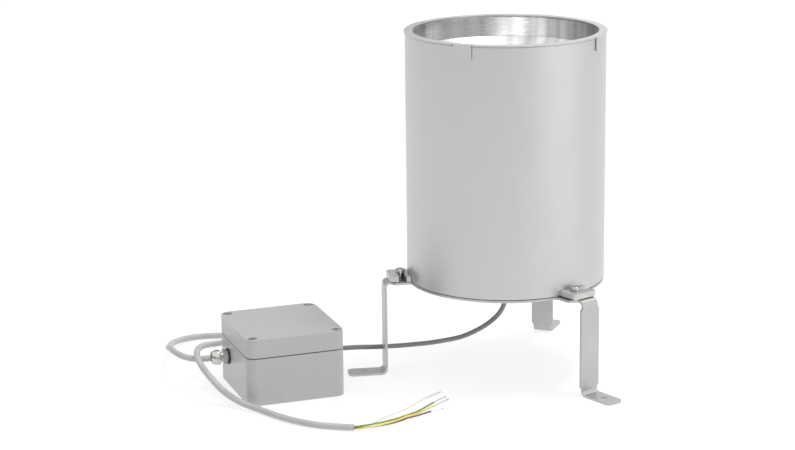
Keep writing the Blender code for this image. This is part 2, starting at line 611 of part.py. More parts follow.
def build_switch_and_stops():
    board_y = UPRIGHT_Y + UPRIGHT_SHEET / 2 + GAP + 0.0008
    board_z = PIVOT_Z + 0.0265
    add_box("reed_board", (0.0260, 0.0016, 0.0110), "board_green", GAUGE, place(0, board_y, board_z))
    lie_down = Matrix.Rotation(math.radians(90), 4, "Y")
    add_cylinder("reed_capsule", 0.0012, 0.0150, "glass", GAUGE,
                 place(0, board_y + 0.0008 + GAP + 0.0012, board_z) @ lie_down, steps=16)
    tip = math.radians(TIP_DEG)
    under = BUCKET_FLOOR + STOP_X * math.tan(math.radians(FLOOR_RISE_DEG))
    stop_top = PIVOT_Z - STOP_X * math.sin(tip) + under * math.cos(tip) - 0.0008
    for side, name in ((-1, "left"), (1, "right")):
        at = place(side * STOP_X, 0)
        add_turned(f"stop_screw_{name}", [
            (0, stop_top), (0.0013, stop_top), (0.0017, stop_top - 0.0005), (0.0017, PLATE_TOP + GAP),
            (0, PLATE_TOP + GAP),
        ], "screw_steel", GAUGE, at, steps=16, closed=False)
        nut = add_cylinder(f"stop_nut_{name}", 0.0040, 0.0028, "screw_steel", GAUGE,
                           at @ place(z=PLATE_TOP + 2 * GAP + 0.0014), steps=6)
        nut_bore = add_cylinder(f"stop_nut_bore_{name}", 0.0017 + GAP, 0.01, None, GAUGE,
                                at @ place(z=PLATE_TOP), steps=16)
        cut(nut, nut_bore)
        cup_top = 0.1000
        add_turned(f"drain_cup_{name}", [
            (0.0110, cup_top), (0.0110, 0.0960), (0.0047, 0.0870), (0.0047, 0.0760), (0.0035, 0.0760),
            (0.0035, 0.0874), (0.0100, 0.0966), (0.0100, cup_top),
        ], "bush_plastic", GAUGE, place(side * DRAIN_X, 0))


def build_level_and_terminals():
    bottom = PLATE_TOP + GAP
    at = place(-0.0400, -0.0480)
    add_turned("bubble_level", [
        (0, bottom + 0.0030), (0.0070, bottom + 0.0030), (0.0070, bottom + 0.0080),
        (0.0090, bottom + 0.0080), (0.0095, bottom + 0.0075), (0.0095, bottom), (0, bottom),
    ], "clamp_metal", GAUGE, at, closed=False)
    add_turned("bubble_level_glass", [
        (0, bottom + 0.0090), (0.0040, bottom + 0.0087), (0.0067, bottom + 0.0078), (0.0067, bottom + 0.0033),
        (0, bottom + 0.0033),
    ], "glass", GAUGE, at, closed=False)
    add_terminal_strip("gauge_terminal_strip", 4, GAUGE, place(0.0380, 0.0480, bottom, 140))


def add_terminal_strip(name, ways, parent, matrix):
    """A screw terminal strip with one wire entry and one screw recess a way."""
    pitch = 0.0080
    length = ways * pitch
    strip = add_box(name, (length, 0.0140, 0.0110), "terminal_plastic", parent,
                    matrix @ Matrix.Translation((0, 0, 0.0055)))
    for way in range(ways):
        x = (way - (ways - 1) / 2) * pitch
        recess = add_cylinder(f"{name}_recess_{way}", 0.0021, 0.006, None, parent,
                              matrix @ Matrix.Translation((x, 0, 0.0110)), steps=12)
        entry = add_box(f"{name}_entry_{way}", (0.0034, 0.0090, 0.0034), None, parent,
                        matrix @ Matrix.Translation((x, -0.0070, 0.0032)))
        cut(strip, recess, entry)


# ---------------------------------------------------------------- glands
def add_gland(prefix, parent, matrix, inside):
    """A cable gland along local Z, from the wall that it is screwed into at z = 0."""
    seal_top = GAP + SEAL_LENGTH
    hex_top = seal_top + GAP + HEX_LENGTH
    add_turned(f"{prefix}_seal", [
        (SEAL_RADIUS, seal_top), (SEAL_RADIUS, GAP), (THREAD_RADIUS + GAP, GAP), (THREAD_RADIUS + GAP, seal_top),
    ], "rubber_black", parent, matrix)
    neck_top = hex_top + NECK_LENGTH
    body = add_cylinder(f"{prefix}_body", HEX_RADIUS, HEX_LENGTH, "gland_brass", parent,
                        matrix @ Matrix.Translation((0, 0, hex_top - HEX_LENGTH / 2)), steps=6)
    thread_top = hex_top - HEX_LENGTH / 2
    thread = add_cylinder(f"{prefix}_thread", THREAD_RADIUS, thread_top + inside, None, parent,
                          matrix @ Matrix.Translation((0, 0, (thread_top - inside) / 2)))
    neck = add_cylinder(f"{prefix}_neck", NECK_RADIUS, neck_top - thread_top, None, parent,
                        matrix @ Matrix.Translation((0, 0, (neck_top + thread_top) / 2)))
    body_bore = add_cylinder(f"{prefix}_bore", GLAND_BORE, 0.06, None, parent, matrix)
    join(body, thread, neck)
    cut(body, body_bore)
    nut_bottom = neck_top + GAP
    nut_top = nut_bottom + NUT_LENGTH
    nut = add_turned(f"{prefix}_nut", [
        (0.0041, nut_top), (0.0050, nut_top - 0.0007), (0.0059, nut_top - 0.0021), (0.0064, nut_top - 0.0038),
        (NUT_RADIUS, nut_bottom + 0.0025), (NUT_RADIUS, nut_bottom), (GLAND_BORE, nut_bottom), (GLAND_BORE, nut_top),
    ], "gland_brass", parent, matrix)
    flats = add_cylinder(f"{prefix}_flats", NUT_RADIUS + 0.0004, 0.03, None, parent,
                         matrix @ Matrix.Translation((0, 0, nut_top)), steps=6)
    combine(nut, flats, "INTERSECT")


# ---------------------------------------------------------------- junction box
def box_side(side, height):
    """Placement of a gland on the box's left or right side, pointing outwards."""
    return (Matrix.Translation((side * BOX_WIDTH / 2, GLAND_SIDE, height))
            @ Matrix.Rotation(math.radians(90 * side), 4, "Y"))


def hollow(obj, bottom, top, name):
    """Cut a plus-shaped room that leaves a solid pillar in each corner."""
    height = top - bottom
    rooms = []
    for label, trim_x, trim_y in (("wide", BOX_WALL, PILLAR), ("deep", PILLAR, BOX_WALL)):
        rooms.append(add_box(f"{name}_{label}", (BOX_WIDTH - 2 * trim_x, BOX_DEPTH - 2 * trim_y, height), None, BOX,
                             place(z=(top + bottom) / 2)))
    cut(obj, *rooms)


def build_box():
    outline = rounded_rectangle(BOX_WIDTH / 2, BOX_DEPTH / 2, BOX_CORNER)
    base_top = BOX_SEAM - SEAM_GAP / 2
    lid_bottom = BOX_SEAM + SEAM_GAP / 2
    base = add_outline("box_base", outline, 0.0, base_top, "box_paint", BOX)
    hollow(base, BOX_WALL, base_top + 0.01, "base_room")
    lid = add_outline("box_lid", outline, lid_bottom, BOX_TOP, "box_paint", BOX)
    hollow(lid, lid_bottom - 0.01, BOX_TOP - BOX_WALL, "lid_room")
    gasket_outline = rounded_rectangle(BOX_WIDTH / 2 - 0.0012, BOX_DEPTH / 2 - 0.0012, BOX_CORNER - 0.0012)
    gasket = add_outline("box_gasket", gasket_outline, base_top + GAP, lid_bottom - GAP, "gasket_grey", BOX)
    hollow(gasket, BOX_SEAM - 0.01, BOX_SEAM + 0.01, "gasket_room")
    for number, (side_x, side_y) in enumerate(((-1, -1), (1, -1), (1, 1), (-1, 1)), start=1):
        at = place(side_x * LID_SCREW_XY[0], side_y * LID_SCREW_XY[1])
        shank_hole = add_cylinder(f"lid_screw_hole_{number}", 0.0018, 0.0600, None, BOX,
                                  at @ place(z=0.0260 + 0.0300), steps=16)
        head_room = add_cylinder(f"lid_screw_room_{number}", 0.0040, 0.0068, None, BOX, at @ place(z=BOX_TOP))
        cut(lid, head_room)
        for piece in (base, lid, gasket):
            cut(piece, shank_hole)
        head_top = BOX_TOP - 0.0004
        screw = add_turned(f"lid_screw_{number}", [
            (0, head_top), (0.0029, head_top), (0.0034, head_top - 0.0006), (0.0034, head_top - 0.0026),
            (0.0015, head_top - 0.0026), (0.0015, 0.0290), (0, 0.0290),
        ], "screw_steel", BOX, at, closed=False)
        driver_slot = add_box(f"lid_screw_slot_{number}", (0.010, 0.0010, 0.0024), None, BOX,
                              at @ place(z=head_top, turn_deg=20 + 37 * number))
        cut(screw, driver_slot)
    for side, height, name in ((-1, LEFT_GLAND_Z, "output_gland"), (1, RIGHT_GLAND_Z, "input_gland")):
        at = box_side(side, height)
        hole = add_cylinder(f"{name}_hole", THREAD_RADIUS + GAP, 0.02, None, BOX, at)
        cut(base, hole)
        add_gland(name, BOX, at, inside=0.0080)
    add_terminal_strip("box_terminal_strip", 6, BOX, place(0, -0.0080, BOX_WALL + GAP))


# ---------------------------------------------------------------- cables and wires
def wire_route(name):
    """Four wires turn about each other from the jacket's end, and then part and lie on the ground."""
    start = Vector(OUTPUT_CABLE_ROUTE[-1]) + Vector(BUNDLE_START_STEP)
    bend = Vector((*BUNDLE_BEND, WIRE_REST + BUNDLE_RADIUS))
    end = Vector((*BUNDLE_END, WIRE_REST + BUNDLE_RADIUS))
    along = (end - start).normalized()
    across = along.cross(Vector((0, 0, 1))).normalized()
    upward = across.cross(along)
    last_step = WHITE_LEAVES if name == "wire_white" else BUNDLE_STEPS
    route = []
    for step in range(last_step + 1):
        t = step / BUNDLE_STEPS
        phase = math.radians(WIRE_ORDER_DEG[name]) + 2 * math.pi * BUNDLE_TURNS * t
        centre = start.lerp(bend, t).lerp(bend.lerp(end, t), t)
        centre.z = max(centre.z, WIRE_REST + BUNDLE_RADIUS)
        point = centre + BUNDLE_RADIUS * (math.cos(phase) * across + math.sin(phase) * upward)
        point.z = max(point.z, WIRE_REST)
        route.append(tuple(point))
    return route + WIRE_FANS[name]


def build_cables():
    add_cord("gauge_cable", GAUGE_CABLE_ROUTE, GAUGE_CABLE_RADIUS, "cable_dark", 0.0115)
    add_cord("output_cable", OUTPUT_CABLE_ROUTE, OUTPUT_CABLE_RADIUS, "cable_light", 0.0150)
    for name in WIRE_FANS:
        add_cord(name, wire_route(name), WIRE_RADIUS, name, 0.0042)


build_collector()
build_housing()
build_base()
build_bracket()
build_bucket()
build_switch_and_stops()
build_level_and_terminals()
add_gland("base_gland", GAUGE,
          Matrix.Translation((0, 0, PLATE_BOTTOM)) @ Matrix.Rotation(math.radians(180), 4, "X"), inside=0.0070)
build_box()
build_cables()
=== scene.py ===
"""Looks of a tipping-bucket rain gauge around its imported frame.

Camera, materials, cords, finer copies of the frame's pieces, floor and light, in that order.
"""

import json
import math

import bmesh
import bpy
import numpy as np
from mathutils import Matrix, Vector

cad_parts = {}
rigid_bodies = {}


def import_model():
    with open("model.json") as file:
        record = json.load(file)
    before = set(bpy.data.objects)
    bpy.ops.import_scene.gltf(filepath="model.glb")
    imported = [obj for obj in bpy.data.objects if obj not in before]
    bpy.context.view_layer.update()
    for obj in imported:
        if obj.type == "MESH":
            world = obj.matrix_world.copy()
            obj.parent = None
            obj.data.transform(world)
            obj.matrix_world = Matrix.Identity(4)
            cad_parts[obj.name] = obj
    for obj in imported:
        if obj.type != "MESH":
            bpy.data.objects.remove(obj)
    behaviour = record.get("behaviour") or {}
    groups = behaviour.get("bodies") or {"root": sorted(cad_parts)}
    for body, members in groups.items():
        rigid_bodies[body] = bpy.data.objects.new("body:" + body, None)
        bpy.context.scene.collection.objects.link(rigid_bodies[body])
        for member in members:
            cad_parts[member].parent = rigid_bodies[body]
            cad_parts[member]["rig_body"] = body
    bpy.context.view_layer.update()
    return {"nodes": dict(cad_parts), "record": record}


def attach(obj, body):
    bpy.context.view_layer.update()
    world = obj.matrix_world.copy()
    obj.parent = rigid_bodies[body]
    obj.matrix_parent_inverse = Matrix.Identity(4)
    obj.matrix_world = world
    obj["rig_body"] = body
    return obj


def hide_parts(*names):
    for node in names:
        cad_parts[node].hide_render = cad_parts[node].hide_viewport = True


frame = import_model()
NODES = frame["nodes"]

# ---------------------------------------------------------------- places that the frame's design fixes
GAUGE_XY = (0.0788, -0.0088)        # gauge axis
GAUGE_CABLE_RADIUS = 0.0021
OUTPUT_CABLE_RADIUS = 0.00275
WIRE_RADIUS = 0.0007
WIRE_REST = WIRE_RADIUS + 0.0001
# the stripped tip of each wire
BARE_LENGTHS = {"wire_white": 0.0217, "wire_green": 0.0182, "wire_yellow": 0.0215, "wire_brown": 0.0125}
STRAND_RATIO = 0.28                 # a strand's radius to its insulation's
STRAND_LAY = 0.016                  # length of one turn of the strands
OUTER_STRANDS = 6
SPLAY_START = 0.75                  # share of the tip where its strands begin to spread
SPLAY = 0.9
WIRE_HIDDEN_START = 0.0015          # length of each wire inside the jacket's end
CABLE_SPACING = 0.0030              # between points of a cable's path
WIRE_SPACING = 0.0015
CABLE_SIDES = 24
WIRE_SIDES = 14
STRAND_SIDES = 8
CABLE_END_ROUND = 0.97              # radius at a cut end to the full radius
WIRE_END_ROUND = 0.95
CURVE_STEP = 0.02                   # between samples of a smooth curve

# routes, relative to the gauge axis, from gland to gland or to the loose end
GAUGE_CABLE_ROUTE = [
    (-0.1460, -0.0230, 0.0220), (-0.1310, -0.0168, 0.0212), (-0.1180, -0.0120, 0.0200),
    (-0.1080, -0.0087, 0.0194), (-0.0950, -0.0052, 0.0191), (-0.0810, -0.0024, 0.0195),
    (-0.0650, -0.0004, 0.0207), (-0.0450, 0.0000, 0.0243), (-0.0350, 0.0000, 0.0274),
    (-0.0250, 0.0000, 0.0322), (-0.0150, 0.0000, 0.0385), (-0.0062, 0.0000, 0.0468),
    (-0.0012, 0.0000, 0.0560), (0.0000, 0.0000, 0.0674),
]
OUTPUT_CABLE_ROUTE = [
    (-0.2521, -0.0663, 0.0268), (-0.2569, -0.0682, 0.0268), (-0.2638, -0.0698, 0.0268),
    (-0.2707, -0.0690, 0.0273), (-0.2770, -0.0662, 0.0281), (-0.2821, -0.0616, 0.0287),
    (-0.2874, -0.0535, 0.0290), (-0.2924, -0.0400, 0.0272), (-0.2962, -0.0240, 0.0228),
    (-0.2990, -0.0070, 0.0172), (-0.3012, 0.0120, 0.0118), (-0.3028, 0.0340, 0.0080),
    (-0.3005, 0.0515, 0.0050), (-0.2945, 0.0645, 0.0033), (-0.2860, 0.0712, 0.0029),
    (-0.2750, 0.0745, 0.0029), (-0.2620, 0.0760, 0.0029), (-0.2400, 0.0770, 0.0029),
    (-0.2150, 0.0770, 0.0029), (-0.1925, 0.0768, 0.0029), (-0.1738, 0.0688, 0.0029),
    (-0.1662, 0.0502, 0.0029), (-0.1738, 0.0316, 0.0030), (-0.1925, 0.0240, 0.0036),
    (-0.2110, 0.0230, 0.0062), (-0.2320, 0.0210, 0.0105), (-0.2490, 0.0090, 0.0168),
    (-0.2585, -0.0120, 0.0222), (-0.2628, -0.0330, 0.0277), (-0.2645, -0.0510, 0.0314),
    (-0.2650, -0.0640, 0.0327), (-0.2640, -0.0730, 0.0325), (-0.2624, -0.0808, 0.0311),
    (-0.2602, -0.0864, 0.0294), (-0.2565, -0.0928, 0.0266), (-0.2508, -0.1000, 0.0222),
    (-0.2435, -0.1068, 0.0167), (-0.2352, -0.1130, 0.0112), (-0.2218, -0.1220, 0.0060),
    (-0.2038, -0.1336, 0.0033), (-0.1855, -0.1498, 0.0029), (-0.1680, -0.1620, 0.0029),
    (-0.1510, -0.1700, 0.0029), (-0.1345, -0.1735, 0.0029), (-0.1230, -0.1748, 0.0029),
]
BUNDLE_START_STEP = (0.0019, 0.0002, 0.0)
BUNDLE_BEND = (-0.0945, -0.1638)
BUNDLE_END = (-0.0815, -0.1462)     # where the wires part
BUNDLE_TURNS = 0.25
BUNDLE_RADIUS = 0.0013
BUNDLE_STEPS = 12
WIRE_ORDER_DEG = {"wire_white": 135, "wire_green": 45, "wire_yellow": -45, "wire_brown": -135}
WHITE_LEAVES = 3                    # the white wire leaves the bundle at this step
WIRE_FANS = {
    "wire_white": [(-0.1040, -0.1585, 0.0032), (-0.0985, -0.1500, 0.0031), (-0.0890, -0.1375, 0.0028),
                   (-0.0793, -0.1215, 0.0022), (-0.0685, -0.0985, 0.0014), (-0.0552, -0.0779, WIRE_REST)],
    "wire_green": [(-0.0769, -0.1388, 0.0027), (-0.0722, -0.1300, 0.0016), (-0.0622, -0.1091, WIRE_REST),
                   (-0.0506, -0.0901, WIRE_REST)],
    "wire_yellow": [(-0.0768, -0.1420, 0.0024), (-0.0722, -0.1338, 0.0012), (-0.0609, -0.1161, WIRE_REST),
                    (-0.0478, -0.0966, WIRE_REST)],
    "wire_brown": [(-0.0721, -0.1385, WIRE_REST), (-0.0621, -0.1288, WIRE_REST),
                   (-0.0519, -0.1217, WIRE_REST)],
}

# ---------------------------------------------------------------- camera
CAMERA_AT = (GAUGE_XY[0], GAUGE_XY[1] - 1.83908, 0.59685)
CAMERA_YAW = -0.0512                # radians, to the left
CAMERA_PITCH = 0.2493               # radians, down
CAMERA_ROLL = -0.0123
CAMERA_LENS = 98.31                 # mm on a 36 mm sensor


def make_camera():
    data = bpy.data.cameras.new("camera")
    data.lens = CAMERA_LENS
    data.sensor_width = 36.0
    data.clip_start = 0.05
    data.clip_end = 60.0
    camera = bpy.data.objects.new("camera", data)
    bpy.context.scene.collection.objects.link(camera)
    forward = Vector((math.sin(CAMERA_YAW) * math.cos(CAMERA_PITCH),
                      math.cos(CAMERA_YAW) * math.cos(CAMERA_PITCH), -math.sin(CAMERA_PITCH)))
    right = forward.cross(Vector((0, 0, 1))).normalized()
    up = right.cross(forward)
    rolled_right = math.cos(CAMERA_ROLL) * right + math.sin(CAMERA_ROLL) * up
    rolled_up = -math.sin(CAMERA_ROLL) * right + math.cos(CAMERA_ROLL) * up
    turn = Matrix((rolled_right, rolled_up, -forward)).transposed().to_4x4()
    camera.matrix_world = Matrix.Translation(CAMERA_AT) @ turn
    bpy.context.scene.camera = camera


make_camera()


# ---------------------------------------------------------------- node helpers
class Surface:
    """A material's node tree, built a step at a time around one Principled shader."""

    def __init__(self, name, colour, roughness, metallic=0.0, **sockets):
        self.material = bpy.data.materials.new(name)
        self.material.use_nodes = True
        self.nodes = self.material.node_tree.nodes
        self.links = self.material.node_tree.links
        self.shader = self.nodes["Principled BSDF"]
        self.set("Base Color", (*colour, 1.0))
        self.set("Roughness", roughness)
        self.set("Metallic", metallic)
        for socket, value in sockets.items():
            self.set(socket.replace("_", " ").title().replace("Ior", "IOR"), value)
        self.object_place = self.nodes.new("ShaderNodeTexCoord").outputs["Object"]

    def set(self, socket, value):
        self.shader.inputs[socket].default_value = value

    def stretched(self, scale, shift=(0.0, 0.0, 0.0)):
        """Object coordinates, scaled apart along x, y and z."""
        mapping = self.nodes.new("ShaderNodeMapping")
        mapping.inputs["Location"].default_value = shift
        mapping.inputs["Scale"].default_value = scale
        self.links.new(self.object_place, mapping.inputs["Vector"])
        return mapping.outputs["Vector"]

    def round_the_axis(self, around, along):
        """Coordinates that run round the gauge axis and along it, with no seam."""
        centred = self.stretched((1, 1, 0), shift=(-GAUGE_XY[0], -GAUGE_XY[1], 0))
        unit = self.nodes.new("ShaderNodeVectorMath")
        unit.operation = "NORMALIZE"
        self.links.new(centred, unit.inputs[0])
        ring = self.nodes.new("ShaderNodeVectorMath")
        ring.operation = "SCALE"
        ring.inputs["Scale"].default_value = around
        self.links.new(unit.outputs[0], ring.inputs[0])
        total = self.nodes.new("ShaderNodeVectorMath")
        total.operation = "ADD"
        self.links.new(ring.outputs[0], total.inputs[0])
        self.links.new(self.stretched((0, 0, along)), total.inputs[1])
        return total.outputs[0]

    def noise(self, scale, detail=3.0, coordinates=None):
        texture = self.nodes.new("ShaderNodeTexNoise")
        texture.inputs["Scale"].default_value = scale
        texture.inputs["Detail"].default_value = detail
        self.links.new(coordinates or self.object_place, texture.inputs["Vector"])
        return texture.outputs["Fac"]

    def spread(self, value, low, high, start=0.3, end=0.7):
        """Remap a noise value to run from low to high."""
        remap = self.nodes.new("ShaderNodeMapRange")
        remap.inputs["From Min"].default_value = start
        remap.inputs["From Max"].default_value = end
        remap.inputs["To Min"].default_value = low
        remap.inputs["To Max"].default_value = high
        self.links.new(value, remap.inputs["Value"])
        return remap.outputs["Result"]

    def colours(self, value, dark, light, start=0.3, end=0.7):
        """Base colour that runs from dark to light with a noise value."""
        ramp = self.nodes.new("ShaderNodeValToRGB")
        ramp.color_ramp.elements[0].position = start
        ramp.color_ramp.elements[0].color = (*dark, 1.0)
        ramp.color_ramp.elements[1].position = end
        ramp.color_ramp.elements[1].color = (*light, 1.0)
        self.links.new(value, ramp.inputs["Fac"])
        self.links.new(ramp.outputs["Color"], self.shader.inputs["Base Color"])
        return self

    def roughness(self, value, low, high):
        self.links.new(self.spread(value, low, high), self.shader.inputs["Roughness"])
        return self

    def bump(self, value, height, strength):
        """Relief of the given height in metres."""
        relief = self.nodes.new("ShaderNodeBump")
        relief.inputs["Strength"].default_value = strength
        relief.inputs["Distance"].default_value = height
        self.links.new(value, relief.inputs["Height"])
        self.links.new(relief.outputs["Normal"], self.shader.inputs["Normal"])
        return self

    def brushed_round(self, amount):
        """Stretch highlights across grooves that run round the gauge axis."""
        self.set("Anisotropic", amount)
        tangent = self.nodes.new("ShaderNodeTangent")
        tangent.direction_type = "RADIAL"
        tangent.axis = "Z"
        self.links.new(tangent.outputs["Tangent"], self.shader.inputs["Tangent"])
        return self


# ---------------------------------------------------------------- materials, one for each slot
def silver_housing():
    """Satin anodised aluminium with a faint upright grain."""
    s = Surface("silver_housing", (0.58, 0.58, 0.585), 0.38, 0.9)
    clouds = s.noise(3.0, 2.0, s.round_the_axis(1.2, 9.0))
    grain = s.noise(6.0, 2.0, s.round_the_axis(60.0, 30.0))
    s.colours(clouds, (0.57, 0.57, 0.575), (0.60, 0.60, 0.605))
    s.roughness(clouds, 0.38, 0.45)
    return s.bump(grain, 0.00002, 0.5).material


def brushed_collector():
    """Turned stainless steel: fine grooves round the axis, and streaks of painted reflection down it in
    the base colour.
    """
    s = Surface("brushed_collector", (0.70, 0.70, 0.69), 0.26, 1.0)
    grooves = s.noise(8.0, 2.0, s.round_the_axis(0.6, 420.0))
    # light and dark bands down the axis in the base colour are painted reflection, standing in for
    # reflected light
    painted_reflection_streaks = s.noise(2.2, 4.0, s.round_the_axis(2.4, 0.6))
    s.colours(painted_reflection_streaks, (0.46, 0.46, 0.46), (0.80, 0.80, 0.79), 0.36, 0.66)
    s.roughness(grooves, 0.24, 0.36)
    s.brushed_round(0.7)
    return s.bump(grooves, 0.00001, 0.15).material


def stainless_sheet():
    """Blasted and slightly blotchy stainless sheet."""
    s = Surface("stainless_sheet", (0.54, 0.54, 0.53), 0.34, 1.0)
    clouds = s.noise(26.0, 4.0)
    grain = s.noise(900.0, 2.0, s.stretched((1, 1, 0.15)))
    s.colours(clouds, (0.48, 0.48, 0.47), (0.56, 0.56, 0.55))
    s.roughness(clouds, 0.38, 0.48)
    return s.bump(grain, 0.00003, 0.5).material


def clamp_metal():
    """Milled aluminium, greyer than the housing."""
    s = Surface("clamp_metal", (0.60, 0.61, 0.59), 0.42, 0.9)
    marks = s.noise(1400.0, 2.0, s.stretched((1, 0.08, 1)))
    s.colours(s.noise(120.0), (0.55, 0.56, 0.54), (0.64, 0.65, 0.63))
    s.roughness(marks, 0.36, 0.48)
    return s.bump(marks, 0.00004, 0.5).material


def screw_steel():
    s = Surface("screw_steel", (0.62, 0.62, 0.63), 0.22, 1.0)
    s.colours(s.noise(300.0), (0.56, 0.56, 0.57), (0.68, 0.68, 0.69))
    s.roughness(s.noise(500.0), 0.16, 0.32)
    return s.bump(s.noise(1600.0), 0.00002, 0.4).material


def bucket_steel():
    s = Surface("bucket_steel", (0.58, 0.59, 0.60), 0.28, 1.0)
    s.colours(s.noise(60.0), (0.52, 0.53, 0.54), (0.63, 0.64, 0.65))
    s.roughness(s.noise(90.0, 4.0), 0.22, 0.38)
    return s.bump(s.noise(1100.0, 2.0, s.stretched((0.1, 1, 1))), 0.00002, 0.5).material


def magnet():
    s = Surface("magnet", (0.16, 0.16, 0.17), 0.45, 0.8)
    s.colours(s.noise(700.0), (0.11, 0.11, 0.12), (0.22, 0.22, 0.23))
    return s.bump(s.noise(2200.0), 0.00004, 0.6).material


def bush_plastic():
    s = Surface("bush_plastic", (0.84, 0.83, 0.78), 0.45, 0.0, subsurface_weight=0.05)
    s.colours(s.noise(180.0), (0.80, 0.79, 0.73), (0.87, 0.86, 0.81))
    s.roughness(s.noise(400.0), 0.38, 0.52)
    return s.bump(s.noise(1800.0), 0.00003, 0.5).material


def board_green():
    s = Surface("board_green", (0.03, 0.19, 0.09), 0.35, 0.0, coat_weight=0.4)
    s.colours(s.noise(900.0, 2.0, s.stretched((1, 1, 0.2))), (0.02, 0.14, 0.06), (0.04, 0.24, 0.11))
    return s.bump(s.noise(1500.0), 0.00003, 0.4).material


def glass():
    s = Surface("glass", (0.90, 0.96, 0.93), 0.04, 0.0, transmission_weight=0.9, ior=1.48)
    return s.bump(s.noise(120.0), 0.00001, 0.3).material


def terminal_plastic():
    s = Surface("terminal_plastic", (0.30, 0.33, 0.35), 0.50)
    s.colours(s.noise(250.0), (0.26, 0.29, 0.31), (0.34, 0.37, 0.39))
    return s.bump(s.noise(2500.0), 0.00004, 0.6).material


def box_paint():
    """Grey powder coat: a fine fleck and a faint orange peel."""
    s = Surface("box_paint", (0.44, 0.44, 0.442), 0.36, 0.0, coat_weight=0.15, coat_roughness=0.2)
    s.colours(s.noise(1100.0, 2.0), (0.41, 0.41, 0.412), (0.46, 0.46, 0.462))
    s.roughness(s.noise(9.0, 1.0), 0.34, 0.38)
    return s.bump(s.noise(1700.0, 0.0), 0.00001, 0.10).material


def gland_brass():
    """Bright nickel plate."""
    s = Surface("gland_brass", (0.58, 0.57, 0.55), 0.18, 1.0)
    s.colours(s.noise(200.0), (0.52, 0.51, 0.49), (0.64, 0.63, 0.61))
    s.roughness(s.noise(300.0), 0.10, 0.22)
    return s.bump(s.noise(900.0), 0.00002, 0.3).material


def rubber_black():
    s = Surface("rubber_black", (0.02, 0.02, 0.02), 0.55)
    s.colours(s.noise(500.0), (0.012, 0.012, 0.013), (0.035, 0.035, 0.036))
    return s.bump(s.noise(2600.0), 0.00004, 0.7).material


def gasket_grey():
    s = Surface("gasket_grey", (0.28, 0.28, 0.28), 0.55)
    s.colours(s.noise(500.0), (0.26, 0.26, 0.26), (0.30, 0.30, 0.30))
    return s.bump(s.noise(2600.0), 0.00004, 0.5).material


def jacket(name, dark, light, roughness):
    """Extruded cable jacket or wire insulation."""
    s = Surface(name, light, roughness, 0.0, coat_weight=0.15, coat_roughness=0.3)
    s.colours(s.noise(70.0, 4.0), dark, light)
    s.roughness(s.noise(260.0, 3.0), roughness - 0.06, roughness + 0.08)
    return s.bump(s.noise(1500.0, 2.0), 0.00003, 0.45).material


def tinned_copper():
    s = Surface("tinned_copper", (0.88, 0.87, 0.85), 0.34, 0.9)
    s.colours(s.noise(900.0), (0.82, 0.80, 0.76), (0.93, 0.92, 0.90))
    return s.bump(s.noise(3000.0), 0.00001, 0.4).material


MATERIALS = {
    "silver_housing": silver_housing(),
    "brushed_collector": brushed_collector(),
    "stainless_sheet": stainless_sheet(),
    "clamp_metal": clamp_metal(),
    "screw_steel": screw_steel(),
    "bucket_steel": bucket_steel(),
    "magnet": magnet(),
    "bush_plastic": bush_plastic(),
    "board_green": board_green(),
    "glass": glass(),
    "terminal_plastic": terminal_plastic(),
    "box_paint": box_paint(),
    "gland_brass": gland_brass(),
    "rubber_black": rubber_black(),
    "gasket_grey": gasket_grey(),
    "cable_dark": jacket("cable_dark", (0.21, 0.21, 0.215), (0.26, 0.26, 0.265), 0.42),
    "cable_light": jacket("cable_light", (0.42, 0.425, 0.43), (0.48, 0.485, 0.49), 0.38),
    "wire_white": jacket("wire_white", (0.78, 0.78, 0.76), (0.86, 0.86, 0.84), 0.35),
    "wire_brown": jacket("wire_brown", (0.16, 0.07, 0.035), (0.24, 0.11, 0.06), 0.35),
    "wire_green": jacket("wire_green", (0.12, 0.24, 0.07), (0.18, 0.33, 0.11), 0.35),
    "wire_yellow": jacket("wire_yellow", (0.72, 0.58, 0.06), (0.86, 0.72, 0.12), 0.35),
}
TINNED_COPPER = tinned_copper()


# ---------------------------------------------------------------- cords
def smooth_route(points, spacing):
    """Points of a smooth curve through a route's points, about one spacing apart."""
    route = [Vector(p) for p in points]
    route = [2 * route[0] - route[1], *route, 2 * route[-1] - route[-2]]
    fine = []
    for before, start, end, after in zip(route, route[1:], route[2:], route[3:]):
        for t in np.arange(0, 1, CURVE_STEP):
            fine.append(0.5 * (2 * start + (end - before) * t
                               + (2 * before - 5 * start + 4 * end - after) * t ** 2
                               + (3 * start - before - 3 * end + after) * t ** 3))
    fine.append(route[-2])
    fine = np.array([tuple(p) for p in fine])
    run = np.concatenate([[0], np.cumsum(np.linalg.norm(np.diff(fine, axis=0), axis=1))])
    count = max(2, round(run[-1] / spacing) + 1)
    marks = np.linspace(0, run[-1], count)
    return [Vector(tuple(np.interp(mark, run, fine[:, axis]) for axis in range(3))) for mark in marks]


def route_length(points):
    return sum((b - a).length for a, b in zip(points, points[1:]))


def beside_gauge(points):
    """From the gauge axis's own coordinates to the frame's."""
    return [Vector(p) + Vector((*GAUGE_XY, 0)) for p in points]


